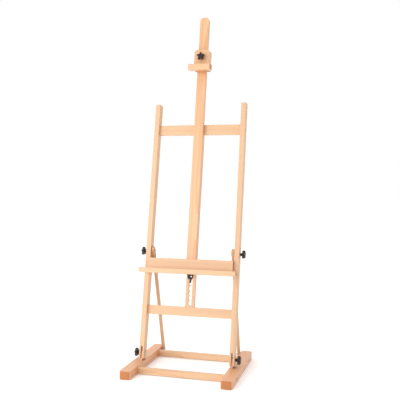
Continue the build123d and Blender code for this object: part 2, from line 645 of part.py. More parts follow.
def latch_bracket():
    """A bent plate: a flange under the mast's end and a leg that hangs down before the stile."""
    back = BRACKET_BACK
    flange = centred(BRACKET_W, (BOARD_BACK + 0.4, back), (MAST_BOTTOM - BRACKET_T, MAST_BOTTOM))
    leg = centred(BRACKET_W, (back - BRACKET_T, back), (MAST_BOTTOM - BRACKET_DROP, MAST_BOTTOM))
    leg = fillet(leg.edges().filter_by(Axis.Y).group_by(Axis.Z)[0], 8.0)
    plate = Pos(BRACKET_X, 0, 0) * (flange + leg) - pawl_pin_hole()
    plate = drilled(plate, bracket_screw_places(), wood_screw(BRACKET_SCREW_L, DRILL_FIT))
    return plate


def pawl_pin_hole():
    """The pin's hole in the bracket's leg."""
    return rod(PIN_R, 40.0, Pos(PAWL_X, 0, PAWL_S) * ALONG_BACK)


def latch_pin():
    """The pin the pawl turns on, riveted in the bracket's leg and headed behind."""
    start = BRACKET_BACK - BRACKET_T - PIN_HEAD_T
    end = PAWL_BACK + SLIDE_GAP
    shank = rod(PIN_R, end - start, Pos(PAWL_X, start, PAWL_S) * ALONG_BACK)
    front = rod(PIN_HEAD_R, PIN_HEAD_T, Pos(PAWL_X, start, PAWL_S) * ALONG_BACK)
    back = rod(PIN_TAIL_R, PIN_TAIL_T, Pos(PAWL_X, end, PAWL_S) * ALONG_BACK)
    return shank + front + back


def latch_pawl():
    """The pawl, drawn pulled just clear of the teeth: hub, nose in the slot and a finger tab."""
    front = BRACKET_BACK + SLIDE_GAP
    place = Pos(PAWL_X, 0, PAWL_S)
    hub = rod(PAWL_HUB_R, PAWL_BACK - front, place * Pos(0, front, 0) * ALONG_BACK)
    angle = radians(PAWL_CLEAR)
    nose_x, nose_s = -PAWL_REACH * sin(angle), -PAWL_REACH * cos(angle)
    outline = make_hull((Circle(PAWL_HUB_R).edges() + (Pos(nose_x, nose_s) * Circle(PAWL_NOSE_R)).edges()))
    nose_front = RAIL_OFF + 1.8
    face = Plane((PAWL_X, nose_front, PAWL_S), x_dir=(1, 0, 0), z_dir=(0, -1, 0))
    nose = extrude(face * outline, nose_front - PAWL_BACK)
    tab_outline = make_hull((Circle(PAWL_HUB_R).edges() + (Pos(TAB_X, TAB_S) * Circle(TAB_R)).edges()))
    tab_face = Plane((PAWL_X, front, PAWL_S), x_dir=(1, 0, 0), z_dir=(0, -1, 0))
    tab = extrude(tab_face * tab_outline, -TAB_T)
    return hub + nose + tab - rod(PIN_R + RUN_FIT, 40.0, place * ALONG_BACK)


def make_carriage():
    """Everything that slides with the mast, except the canvas holder."""
    save("mast", LEANING * mast())
    save("tray_back_board", LEANING * tray_back_board())
    save("tray_shelf", LEANING * tray_shelf())
    save("tray_front_lip", LEANING * tray_front_lip())
    save("guide_block", LEANING * guide_block())
    save("guide_keeper", LEANING * guide_keeper())
    save("board_screws", [LEANING * p * wood_screw(BOARD_SCREW_L) for p in board_screw_places()])
    save("shelf_screws", [LEANING * p * wood_screw(SHELF_SCREW_L) for p in shelf_screw_places()])
    save("guide_screws", [LEANING * p * wood_screw(GUIDE_SCREW_L) for p in guide_screw_places()])
    save("bracket_screws", [LEANING * p * wood_screw(BRACKET_SCREW_L) for p in bracket_screw_places()])
    save("latch_bracket", LEANING * latch_bracket())
    save("latch_pin", LEANING * latch_pin())
    save("latch_pawl", LEANING * latch_pawl())


# ----------------------------------------------------------------------------------------------
# Canvas holder: a sleeve on the mast, its ledge and its clamp knob
# ----------------------------------------------------------------------------------------------

PLATE_SCREW_L, PLATE_SCREW_END = 34.0, 18.0     # length, and distance from the plate's ends
LEDGE_SCREW_L, LEDGE_SCREW_X, LEDGE_SCREW_RISE = 36.0, 15.0, 5.5
LEDGE_ROOT = 10.0                               # how far the ledge is drawn into the block before it's cut
BUSH_R = INSERT_R + 1.5
KNOB_STANDS = 2.0                               # gap between the block and the clamp knob's hub


def plate_screw_places():
    """Heads of the back plate's four screws, pointing forwards into the block's cheeks."""
    x = (HOLDER_W + MAST_W) / 4
    back = MAST_BACK + SLIDE_GAP + HOLDER_PLATE_T
    levels = (HOLDER_LOW + PLATE_SCREW_END, HOLDER_HIGH - PLATE_SCREW_END)
    return [Pos(side * x, back, s) * FORWARDS for side in (-1, 1) for s in levels]


def ledge_screw_places():
    """Heads of the ledge's two screws, in the block's groove and pointing forwards."""
    back, level = MAST_OFF - SLIDE_GAP, LEDGE_S + LEDGE_SCREW_RISE
    return [Pos(x, back, level) * FORWARDS for x in (-LEDGE_SCREW_X, LEDGE_SCREW_X)]


def holder_block():
    """The block in front of the mast with its two cheeks, rounded at the top."""
    outline = Rectangle(HOLDER_W, HOLDER_HIGH - HOLDER_LOW, align=(Align.CENTER, Align.MIN))
    outline = fillet(outline.vertices().group_by(Axis.Y)[-1], HOLDER_CORNER_R)
    face = Plane((0, HOLDER_FRONT, HOLDER_LOW), x_dir=(1, 0, 0), z_dir=(0, -1, 0))
    back = MAST_BACK + SLIDE_GAP
    block = extrude(face * outline, -(back - HOLDER_FRONT))
    block = fillet(block.faces().sort_by(Axis.Y)[0].outer_wire().edges(), 2.0)
    groove_w = MAST_W + 2 * SLIDE_GAP
    block -= centred(groove_w, (MAST_OFF - SLIDE_GAP, back + 1), (HOLDER_LOW - 1, HOLDER_HIGH + 1))
    block -= rod(BUSH_R, 30.0, Pos(0, HOLDER_FRONT - 5, HOLDER_KNOB_S) * ALONG_BACK)
    block = drilled(block, plate_screw_places(), wood_screw(PLATE_SCREW_L, DRILL_FIT))
    block = drilled(block, ledge_screw_places(), wood_screw(LEDGE_SCREW_L, DRILL_FIT))
    return block


def holder_back_plate():
    """The plate that closes the sleeve behind the mast."""
    back = MAST_BACK + SLIDE_GAP
    plate = centred(HOLDER_W, (back, back + HOLDER_PLATE_T), (HOLDER_LOW, HOLDER_HIGH))
    plate = eased(plate, Axis.Y, 4.0)
    plate = drilled(plate, plate_screw_places(), wood_screw(PLATE_SCREW_L, DRILL_FIT))
    return plate


def holder_ledge():
    """The ledge that hooks over a canvas's top edge, drooping a little towards its front."""
    bar = centred(LEDGE_W, (-LEDGE_D - LEDGE_ROOT, LEDGE_ROOT), (-LEDGE_H / 2, LEDGE_H / 2))
    bar = eased(bar, Axis.Y, 3.0)
    bar = fillet(bar.faces().sort_by(Axis.Y)[0].outer_wire().edges(), 1.5)
    bar = Pos(0, HOLDER_FRONT, LEDGE_S) * Rot(LEDGE_DROOP, 0, 0) * Pos(0, LEDGE_ROOT, 0) * bar
    bar &= centred(
        2 * LEDGE_W, (HOLDER_FRONT - 2 * LEDGE_D, HOLDER_FRONT), (LEDGE_S - LEDGE_D, LEDGE_S + LEDGE_D)
    )
    bar = drilled(bar, ledge_screw_places(), wood_screw(LEDGE_SCREW_L, DRILL_FIT))
    return bar


def holder_insert():
    """The threaded bush in the block that the clamp knob's stud screws through."""
    place = Pos(0, HOLDER_FRONT, HOLDER_KNOB_S) * ALONG_BACK
    length = MAST_OFF - SLIDE_GAP - HOLDER_FRONT
    return rod(BUSH_R, length, place) - rod(BOLT_R + RUN_FIT, length, place)


def holder_knob_place():
    """Where the clamp knob's hub starts, pointing forwards."""
    return LEANING * Pos(0, HOLDER_FRONT - KNOB_STANDS, HOLDER_KNOB_S) * FORWARDS


def holder_knob_stud():
    """The clamp knob's stud: moulded into the hub, its tip just short of the mast."""
    length = MAST_OFF - SLIDE_GAP - HOLDER_FRONT + KNOB_STANDS
    return rod(BOLT_R, length + INSERT_L - 0.2, holder_knob_place() * Pos(0, 0, -length))


def make_holder():
    """The canvas holder and its knob."""
    save("holder_block", LEANING * holder_block())
    save("holder_back_plate", LEANING * holder_back_plate())
    save("holder_ledge", LEANING * holder_ledge())
    save("holder_insert", LEANING * holder_insert())
    save("holder_plate_screws", [LEANING * p * wood_screw(PLATE_SCREW_L) for p in plate_screw_places()])
    save("holder_ledge_screws", [LEANING * p * wood_screw(LEDGE_SCREW_L) for p in ledge_screw_places()])
    save("holder_knob", holder_knob_place() * star_knob(BOLT_R + 0.01))
    save("holder_knob_stud", holder_knob_stud())


make_base()
make_frame()
make_struts()
make_side_knobs()
make_carriage()
make_holder()
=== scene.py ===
import json
from math import cos, pi, radians, sin

import bmesh
import bpy
import numpy as np
from mathutils import Euler, Matrix, Vector


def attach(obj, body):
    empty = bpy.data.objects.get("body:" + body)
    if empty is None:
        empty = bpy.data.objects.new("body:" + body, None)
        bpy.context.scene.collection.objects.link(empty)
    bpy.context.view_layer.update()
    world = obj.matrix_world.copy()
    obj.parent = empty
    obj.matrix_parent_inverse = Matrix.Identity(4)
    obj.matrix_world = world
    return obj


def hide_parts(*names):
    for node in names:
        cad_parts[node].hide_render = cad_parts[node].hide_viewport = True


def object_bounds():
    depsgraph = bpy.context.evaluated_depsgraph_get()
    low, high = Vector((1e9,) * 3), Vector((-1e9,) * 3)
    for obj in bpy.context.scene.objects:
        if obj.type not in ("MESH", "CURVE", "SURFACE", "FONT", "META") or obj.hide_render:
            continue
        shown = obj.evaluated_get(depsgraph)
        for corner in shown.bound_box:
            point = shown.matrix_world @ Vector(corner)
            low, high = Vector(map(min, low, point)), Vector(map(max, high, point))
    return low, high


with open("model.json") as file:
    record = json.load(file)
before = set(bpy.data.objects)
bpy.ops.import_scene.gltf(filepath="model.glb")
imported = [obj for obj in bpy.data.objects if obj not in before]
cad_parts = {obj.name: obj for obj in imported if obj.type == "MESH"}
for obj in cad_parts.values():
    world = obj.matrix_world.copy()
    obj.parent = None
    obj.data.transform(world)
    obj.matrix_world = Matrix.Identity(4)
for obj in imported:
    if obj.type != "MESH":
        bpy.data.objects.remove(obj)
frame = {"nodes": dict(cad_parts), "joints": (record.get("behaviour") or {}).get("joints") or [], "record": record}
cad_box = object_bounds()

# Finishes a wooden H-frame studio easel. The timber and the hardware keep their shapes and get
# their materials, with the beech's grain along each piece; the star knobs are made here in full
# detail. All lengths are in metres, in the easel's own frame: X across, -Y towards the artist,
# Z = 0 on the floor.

bl_info = {
    "name": "Studio Easel Finish",
    "version": (1, 0, 0),
    "blender": (4, 5, 0),
    "location": "3D View > Sidebar > Easel",
    "description": "Lacquered beech, moulded star knobs and plated hardware for a studio easel",
    "category": "Object",
}

MM = 0.001
MIX_SHARE, MIX_A, MIX_B, MIX_OUT = 0, 6, 7, 2   # the colour sockets of Blender's Mix node


def linear(code):
    """An sRGB hex colour as linear values."""
    shares = [int(code[start:start + 2], 16) / 255 for start in (0, 2, 4)]
    return tuple(v / 12.92 if v <= 0.04045 else ((v + 0.055) / 1.055) ** 2.4 for v in shares)


# ----------------------------------------------------------------------------------------------
# What a user would change
# ----------------------------------------------------------------------------------------------

def length(name, description, millimetres, **more):
    """A length property, given in millimetres and kept in metres."""
    return bpy.props.FloatProperty(
        name=name, description=description, default=millimetres * MM, min=0.0,
        unit="LENGTH", subtype="DISTANCE", precision=5, **more,
    )


def colour(name, description, code):
    """A colour property, given as an sRGB hex code."""
    return bpy.props.FloatVectorProperty(
        name=name, description=description, default=linear(code), size=3, min=0.0, max=1.0, subtype="COLOR",
    )


class EaselTimber(bpy.types.PropertyGroup):
    """Colours and grain of the beech."""

    early: colour("Early wood", "The pale wood of each growth ring", "E5BD96")
    late: colour("Late wood", "The darker line that ends each growth ring", "DBAE85")
    fleck: colour("Ray flecks", "The short brown flecks that mark beech", "B9855A")
    end: colour("End grain", "Wood cut across its fibres, which takes in more lacquer", "C98A55")
    base_tint: colour("Base tint", "Deeper, redder boards that the base is sawn from", "FCE5D7")
    mast_tint: colour("Mast tint", "Warmer boards for the mast and the canvas holder", "FFF2E6")
    # Painted shade: the struts' colours are made darker than the other boards, for the shade they stand in behind
    # the posts.
    strut_tint: colour("Strut tint", "Darker boards for the struts", "E8DDD1")
    # Painted light: the tray's back board and shelf and the rear rail get a lighter tint than the plain boards.
    # This lifts the shade that the shelf, lip, runners and tongues cast on them.
    pale_tint: colour("Pale tint", "The palest boards, for the tray's back and the rear rail", "FFFFFF")
    plain_tint: colour("Plain tint", "Boards for everything else", "F9F6F2")
    ring_width: length("Ring width", "Width of one growth ring", 2.1)
    wander: length("Ring wander", "How far the rings stray from true circles", 6.0)
    fibre_width: length("Fibre width", "Width of one streak of fibres", 0.55)
    fleck_width: length("Fleck width", "Width of one ray fleck", 0.45)
    band_width: length("Band width", "Width of the broad light and dark bands of a board", 9.0)
    edge_width: length("Softened edge", "How far sanding has rounded each edge", 0.8)


class EaselKnobs(bpy.types.PropertyGroup):
    """Shape and colour of the star knobs."""

    lobes: bpy.props.IntProperty(name="Lobes", description="Grips round a knob", default=5, min=3, max=9)
    valley: bpy.props.FloatProperty(
        name="Valley", description="Radius between two lobes as a share of the radius at their tips",
        default=0.60, min=0.4, max=1.0, subtype="FACTOR",
    )
    rim: length("Rim", "Rounding of the knob's outer edges", 3.0)
    dish: length("Dish", "Depth of the round dish in the knob's face", 1.0)
    plastic: colour("Plastic", "Black phenolic, a little brown", "1D1718")
    grit: length("Mould grit", "Grain of the mould's blasted surface", 0.5)
    handling: length("Handling", "Size of the patches that hands have polished", 11.111)


class EaselMetals(bpy.types.PropertyGroup):
    """Colours of the hardware."""

    zinc: colour("Zinc plate", "Bright zinc over steel, faintly blue", "C3C5C8")
    oxide: colour("Black oxide", "Oiled black oxide on the latch", "3A3735")
    rubbed: colour("Rubbed steel", "Bare steel where the oxide has rubbed off", "8F8C88")
    brass: colour("Brass", "Turned brass of the threaded inserts", "C9A55A")
    crystal: length("Spangle", "Size of the patches in the zinc plating", 2.5)
    smudge: length("Oil smudge", "Size of one smudge in the oil on the black oxide", 2.5)
    worn_edge: length("Worn edge", "How far from an edge the oxide has rubbed off", 0.5)
    tool_mark: length("Tool mark", "Size of one mark of the lathe's tool on the brass", 0.66667)


class EaselStage(bpy.types.PropertyGroup):
    """Floor, lights and camera."""

    floor: colour("Floor", "Seamless white paper", "FEFEFE")
    pulp: length("Paper tooth", "Size of one speck of the paper's tooth", 1.1111)
    glow: bpy.props.FloatProperty(
        name="Paper glow", description="Light that comes through the paper from below", default=0.10,
        min=0.0,
    )
    sky: bpy.props.FloatProperty(
        name="Room light", description="Strength of the white walls", default=1.0, min=0.0
    )
    ceiling: bpy.props.FloatProperty(
        name="Ceiling", description="Strength of the ceiling as a multiple of the walls", default=1.4,
        min=0.0,
    )
    shade: bpy.props.FloatProperty(
        name="Shade", description="How far the band in the near right corner is darkened", default=0.95,
        min=0.0, max=1.0, subtype="FACTOR",
    )
    shade_side: bpy.props.FloatVectorProperty(
        name="Shade side", description="Which way the darkened band lies", default=(0.94, -0.34, 0.0),
        size=3, subtype="DIRECTION",
    )
    key_place: bpy.props.FloatVectorProperty(
        name="Key light place", description="Where the large soft light stands", default=(-1.7, -3.1, 1.5),
        size=3, subtype="XYZ", unit="LENGTH",
    )
    key_size: bpy.props.FloatProperty(
        name="Key light size", description="Side of the large soft light", default=2.6, min=0.0,
        unit="LENGTH",
    )
    floor_radius: bpy.props.FloatProperty(
        name="Floor radius", description="How far the floor reaches", default=40.0, min=0.0, unit="LENGTH"
    )
    key_power: bpy.props.FloatProperty(
        name="Key light", description="Power of the large soft light in front, on the left",
        default=56.0, min=0.0, unit="POWER",
    )
    camera_place: bpy.props.FloatVectorProperty(
        name="Camera", description="Where the camera stands", default=(0.8073, -2.8760, 0.9071),
        size=3, subtype="XYZ", unit="LENGTH",
    )
    camera_turn: bpy.props.FloatVectorProperty(
        name="Camera turn", description="Tilt down, roll and turn to the left of the camera",
        default=(radians(-1.326), radians(0.529), radians(14.835)), size=3, subtype="EULER",
        unit="ROTATION",
    )
    lens: bpy.props.FloatProperty(
        name="Lens", description="Focal length on a 36 mm wide sensor", default=54.36, min=1.0,
        unit="CAMERA",
    )


# ----------------------------------------------------------------------------------------------
# Node and mesh helpers
# ----------------------------------------------------------------------------------------------

def add_node(tree, kind, inputs=None, **settings):
    """Adds a shader node. Each input is a plain value or the output socket that feeds it."""
    node = tree.nodes.new("ShaderNode" + kind)
    for name, value in settings.items():
        setattr(node, name, value)
    for key, value in (inputs or {}).items():
        if isinstance(value, bpy.types.NodeSocket):
            tree.links.new(value, node.inputs[key])
        else:
            node.inputs[key].default_value = value
    return node


def new_material(name):
    """An empty node material and its tree."""
    material = bpy.data.materials.new(name)
    material.use_nodes = True
    material.node_tree.nodes.clear()
    return material, material.node_tree


def finish_material(tree, inputs):
    """Ends a material with one Principled shader."""
    shader = add_node(tree, "BsdfPrincipled", inputs)
    add_node(tree, "OutputMaterial", {"Surface": shader.outputs["BSDF"]})


def opaque(values):
    """A linear colour with full alpha."""
    return (*values, 1.0)


def wear_material(piece, material):
    """Gives a whole piece one material."""
    piece.data.materials.clear()
    piece.data.materials.append(material)


def cad_node(name):
    """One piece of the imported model."""
    if name not in frame["nodes"]:
        raise RuntimeError(f"the easel has no piece named {name}")
    return frame["nodes"][name]


def sawn_axes(piece):
    """The axes of a sawn bar: along it, across its width and through its thickness.

    The faces are summed by area and direction. The ends are a bar's smallest faces, so the
    direction with the least area is the bar's length, and the one with the most its thickness.
    """
    total = np.zeros((3, 3))
    for face in piece.data.polygons:
        normal = np.array(face.normal)
        total += face.area * np.outer(normal, normal)
    axes = np.linalg.eigh(total)[1].T
    along, across = Vector(axes[0]), Vector(axes[1])
    return along, across, along.cross(across)


# ----------------------------------------------------------------------------------------------
# Materials
# ----------------------------------------------------------------------------------------------

def lacquered_beech(piece, timber, tint, order):
    """Beech, sawn, planed, sanded and lacquered.

    It reads as pale, pinkish wood with quiet rings, short brown ray flecks and a thin satin film.
    The pattern is solid: rings round the heart of a log beside the piece, so that long faces show
    lines, ends show arcs, and no face has to be unwrapped. order moves each piece to its own log.
    """
    # The tint scales every colour of the wood. For the struts it is painted shade, and for the tray's back, its
    # shelf and the rear rail it is painted light.
    early, late_wood, ray, cut = [
        opaque([part * share for part, share in zip(wood, tint)])
        for wood in (timber.early, timber.late, timber.fleck, timber.end)
    ]
    along, across, through = sawn_axes(piece)
    material, tree = new_material(f"lacquered_beech_{piece.name}")
    where = add_node(tree, "TexCoord")
    turn = Matrix((along, across, through)).to_euler()
    # The heart runs along the grain and passes 35 to 80 mm from the easel's origin.
    heart = (0.37 * order, 0.021 * sin(2.4 * order), 0.055 + 0.02 * cos(1.7 * order))
    log = add_node(tree, "Mapping", {
        "Vector": where.outputs["Object"], "Location": heart, "Rotation": turn,
    }).outputs["Vector"]

    def stretched(width, run, detail, contrast=0.5):
        """Noise in streaks of a real width, run times as long as they are wide."""
        scaled = add_node(tree, "Mapping", {
            "Vector": log, "Scale": (0.5 / (width * run), 0.5 / width, 0.5 / width),
        })
        return add_node(tree, "TexNoise", {
            "Vector": scaled.outputs["Vector"], "Scale": 1.0, "Detail": detail, "Roughness": contrast,
        })

    # Slow waves, 45 mm wide, bend the rings a few millimetres, as a trunk's growth does.
    waves = stretched(45 * MM, 6.0, 2.0)
    pull = add_node(tree, "VectorMath", {
        0: waves.outputs["Color"], 1: (0.5, 0.5, 0.5),
    }, operation="SUBTRACT")
    pull = add_node(tree, "VectorMath", {0: pull.outputs[0], "Scale": timber.wander}, operation="SCALE")
    bent = add_node(tree, "VectorMath", {0: log, 1: pull.outputs[0]}, operation="ADD")
    # The wave turns 20 radians a metre at scale 1, so this scale sets the rings ring_width apart.
    rings = add_node(tree, "TexWave", {
        "Vector": bent.outputs[0], "Scale": pi / (10.0 * timber.ring_width), "Distortion": 0.0,
    }, wave_type="RINGS", rings_direction="X", wave_profile="SAW")
    late = add_node(tree, "MapRange", {
        "Value": rings.outputs["Fac"], "From Min": 0.45, "From Max": 1.0,
    }, interpolation_type="SMOOTHERSTEP")

    fibres = stretched(timber.fibre_width, 60.0, 3.0, 0.6)
    bands = stretched(timber.band_width, 35.0, 2.0)
    flecks = stretched(timber.fleck_width, 7.0, 1.0)
    fleck = add_node(tree, "MapRange", {
        "Value": flecks.outputs["Fac"], "From Min": 0.66, "From Max": 0.74,
    }, interpolation_type="SMOOTHSTEP")

    # Face direction in the piece's own frame, so that end grain stays on the ends as pieces move.
    facing = add_node(tree, "VectorMath", {0: where.outputs["Normal"], 1: along}, operation="DOT_PRODUCT")
    facing = add_node(tree, "Math", {0: facing.outputs["Value"]}, operation="ABSOLUTE")
    end = add_node(tree, "MapRange", {
        "Value": facing.outputs["Value"], "From Min": 0.6, "From Max": 0.92,
    }, interpolation_type="SMOOTHSTEP")

    body = add_node(tree, "Mix", {
        MIX_SHARE: late.outputs["Result"], MIX_A: early, MIX_B: late_wood,
    }, data_type="RGBA")
    tone = add_node(tree, "MapRange", {
        "Value": bands.outputs["Fac"], "From Min": 0.25, "From Max": 0.75, "To Min": 0.94, "To Max": 1.06,
    })
    fine = add_node(tree, "MapRange", {
        "Value": fibres.outputs["Fac"], "From Min": 0.2, "From Max": 0.8, "To Min": 0.95, "To Max": 1.04,
    })
    tone = add_node(tree, "Math", {
        0: tone.outputs["Result"], 1: fine.outputs["Result"],
    }, operation="MULTIPLY")
    toned = add_node(tree, "VectorMath", {
        0: body.outputs[MIX_OUT], "Scale": tone.outputs["Value"],
    }, operation="SCALE")
    speck = add_node(tree, "Math", {0: fleck.outputs["Result"], 1: 0.55}, operation="MULTIPLY")
    flecked = add_node(tree, "Mix", {
        MIX_SHARE: speck.outputs["Value"], MIX_A: toned.outputs[0], MIX_B: ray,
    }, data_type="RGBA")
    # Cut ends show the rings as arcs and the open pores as fine dots.
    arcs = add_node(tree, "MapRange", {"Value": late.outputs["Result"], "To Min": 1.0, "To Max": 0.84})
    pores = add_node(tree, "MapRange", {
        "Value": fibres.outputs["Fac"], "From Min": 0.35, "From Max": 0.6, "To Min": 0.80, "To Max": 1.05,
    })
    depth = add_node(tree, "Math", {
        0: arcs.outputs["Result"], 1: pores.outputs["Result"],
    }, operation="MULTIPLY")
    ends = add_node(tree, "VectorMath", {0: cut[:3], "Scale": depth.outputs["Value"]}, operation="SCALE")
    soaked = add_node(tree, "Mix", {
        MIX_SHARE: end.outputs["Result"], MIX_A: flecked.outputs[MIX_OUT], MIX_B: ends.outputs[0],
    }, data_type="RGBA")

    # The lacquer follows the fibres a few hundredths of a millimetre deep.
    rounded = add_node(tree, "Bevel", {"Radius": timber.edge_width}, samples=4)
    height = add_node(tree, "Math", {
        0: fibres.outputs["Fac"], 1: 0.6, 2: late.outputs["Result"],
    }, operation="MULTIPLY_ADD")
    relief = add_node(tree, "Bump", {
        "Strength": 0.35, "Distance": 0.08 * MM, "Height": height.outputs["Value"],
        "Normal": rounded.outputs["Normal"],
    })
    satin = add_node(tree, "MapRange", {
        "Value": fibres.outputs["Fac"], "From Min": 0.2, "From Max": 0.8, "To Min": 0.40, "To Max": 0.54,
    })
    dull = add_node(tree, "Math", {
        0: end.outputs["Result"], 1: 0.14, 2: satin.outputs["Result"],
    }, operation="MULTIPLY_ADD")
    finish_material(tree, {
        "Base Color": soaked.outputs[MIX_OUT], "Roughness": dull.outputs["Value"], "IOR": 1.5,
        "Coat Weight": 0.3, "Coat Roughness": 0.25, "Coat IOR": 1.5, "Normal": relief.outputs["Normal"],
    })
    return material


def moulded_phenolic(knobs):
    """Black phenolic, pressed in a blasted steel mould: near black with soft, slightly grainy lights."""
    material, tree = new_material("moulded_phenolic")
    where = add_node(tree, "TexCoord")
    grit = add_node(tree, "TexNoise", {
        "Vector": where.outputs["Object"], "Scale": 0.5 / knobs.grit, "Detail": 2.0,
    })
    handled = add_node(tree, "TexNoise", {
        "Vector": where.outputs["Object"], "Scale": 1.0 / knobs.handling, "Detail": 3.0,
    })
    colour_mix = add_node(tree, "Mix", {
        MIX_SHARE: handled.outputs["Fac"], MIX_A: opaque([v * 0.8 for v in knobs.plastic]),
        MIX_B: opaque([v * 1.3 for v in knobs.plastic]),
    }, data_type="RGBA")
    gloss = add_node(tree, "MapRange", {
        "Value": handled.outputs["Fac"], "From Min": 0.3, "From Max": 0.7, "To Min": 0.30, "To Max": 0.44,
    })
    relief = add_node(tree, "Bump", {
        "Strength": 0.25, "Distance": 0.06 * MM, "Height": grit.outputs["Fac"],
    })
    finish_material(tree, {
        "Base Color": colour_mix.outputs[MIX_OUT], "Roughness": gloss.outputs["Result"], "IOR": 1.6,
        "Specular IOR Level": 0.35, "Normal": relief.outputs["Normal"],
    })
    return material


def zinc_plated_steel(metals):
    """Steel with bright zinc electroplate: cool grey metal in faint patches, with soft reflections."""
    material, tree = new_material("zinc_plated_steel")
    where = add_node(tree, "TexCoord")
    patches = add_node(tree, "TexVoronoi", {
        "Vector": where.outputs["Object"], "Scale": 1.0 / metals.crystal,
    })
    haze = add_node(tree, "TexNoise", {
        "Vector": where.outputs["Object"], "Scale": 1.0 / metals.crystal, "Detail": 4.0,
    })
    mixed = add_node(tree, "Mix", {
        MIX_SHARE: haze.outputs["Fac"], MIX_A: opaque([v * 0.8 for v in metals.zinc]),
        MIX_B: opaque(metals.zinc),
    }, data_type="RGBA")
    gloss = add_node(tree, "MapRange", {
        "Value": patches.outputs["Distance"], "From Min": 0.0, "From Max": 1.0, "To Min": 0.24,
        "To Max": 0.40,
    })
    finish_material(tree, {
        "Base Color": mixed.outputs[MIX_OUT], "Metallic": 1.0, "Roughness": gloss.outputs["Result"],
    })
    return material


def black_oxide_steel(metals):
    """Pressed steel with oiled black oxide: nearly black metal, rubbed bright along its edges."""
    material, tree = new_material("black_oxide_steel")
    where = add_node(tree, "TexCoord")
    rounded = add_node(tree, "Bevel", {"Radius": metals.worn_edge}, samples=4)
    flat = add_node(tree, "NewGeometry")
    turn = add_node(tree, "VectorMath", {
        0: rounded.outputs["Normal"], 1: flat.outputs["Normal"],
    }, operation="DOT_PRODUCT")
    smudge = add_node(tree, "TexNoise", {
        "Vector": where.outputs["Object"], "Scale": 1.0 / metals.smudge, "Detail": 4.0,
    })
    edge = add_node(tree, "MapRange", {
        "Value": turn.outputs["Value"], "From Min": 0.98, "From Max": 0.80,
    })
    worn = add_node(tree, "Math", {
        0: edge.outputs["Result"], 1: smudge.outputs["Fac"],
    }, operation="MULTIPLY")
    mixed = add_node(tree, "Mix", {
        MIX_SHARE: worn.outputs["Value"], MIX_A: opaque(metals.oxide), MIX_B: opaque(metals.rubbed),
    }, data_type="RGBA")
    oil = add_node(tree, "MapRange", {
        "Value": smudge.outputs["Fac"], "From Min": 0.3, "From Max": 0.7, "To Min": 0.34, "To Max": 0.52,
    })
    finish_material(tree, {
        "Base Color": mixed.outputs[MIX_OUT], "Metallic": 1.0, "Roughness": oil.outputs["Result"],
        "Normal": rounded.outputs["Normal"],
    })
    return material


def turned_brass(metals):
    """Brass turned from bar: warm yellow metal with fine tool marks."""
    material, tree = new_material("turned_brass")
    where = add_node(tree, "TexCoord")
    marks = add_node(tree, "TexNoise", {
        "Vector": where.outputs["Object"], "Scale": 1.0 / metals.tool_mark, "Detail": 2.0,
    })
    gloss = add_node(tree, "MapRange", {"Value": marks.outputs["Fac"], "To Min": 0.2, "To Max": 0.4})
    finish_material(tree, {
        "Base Color": opaque(metals.brass), "Metallic": 1.0, "Roughness": gloss.outputs["Result"],
    })
    return material


def seamless_paper(stage):
    """Matt white background paper, with the faint tooth of its pulp."""
    material, tree = new_material("seamless_paper")
    where = add_node(tree, "TexCoord")
    tooth = add_node(tree, "TexNoise", {
        "Vector": where.outputs["Object"], "Scale": 1.0 / stage.pulp, "Detail": 2.0,
    })
    relief = add_node(tree, "Bump", {
        "Strength": 0.1, "Distance": 0.05 * MM, "Height": tooth.outputs["Fac"],
    })
    finish_material(tree, {
        "Base Color": opaque(stage.floor), "Roughness": 0.9, "Specular IOR Level": 0.1,
        "Emission Color": (1, 1, 1, 1), "Emission Strength": stage.glow, "Normal": relief.outputs["Normal"],
    })
    return material


def shared_material(make, settings):
    """A material that many pieces wear, made by the function of its own name on first use."""
    return bpy.data.materials.get(make.__name__) or make(settings)


# ----------------------------------------------------------------------------------------------
# Star knobs
# ----------------------------------------------------------------------------------------------

KNOB_R, KNOB_L = 21.0 * MM, 25.0 * MM           # radius at the lobes' tips, and whole length
HUB_L, HUB_R, HUB_TOP_R = 10.0 * MM, 6.5 * MM, 8.5 * MM
BORE_R, BORE_L = 4.5 * MM, 14.0 * MM            # where a side knob's insert sits
STUD_R = 3.01 * MM                              # where the holder knob's stud is moulded in
DISH_R, DISH_EDGE_R = 0.42 * KNOB_R, 1.2 * MM   # the dish in the face, and the rounding of its floor
FACE_FALL = 0.4 * MM                            # how much lower the face is at the lobes
UNDER_R = 1.5 * MM                              # rounding under the lobes and where the hub meets them
LOBE_STEPS = 24                                 # points of the outline round each lobe


def arc_points(centre, radius, start, stop, steps):
    """Points of an arc in the (radius, height) plane, angles in degrees."""
    turns = [radians(start + (stop - start) * index / steps) for index in range(steps + 1)]
    return [(centre[0] + radius * cos(turn), centre[1] + radius * sin(turn)) for turn in turns]


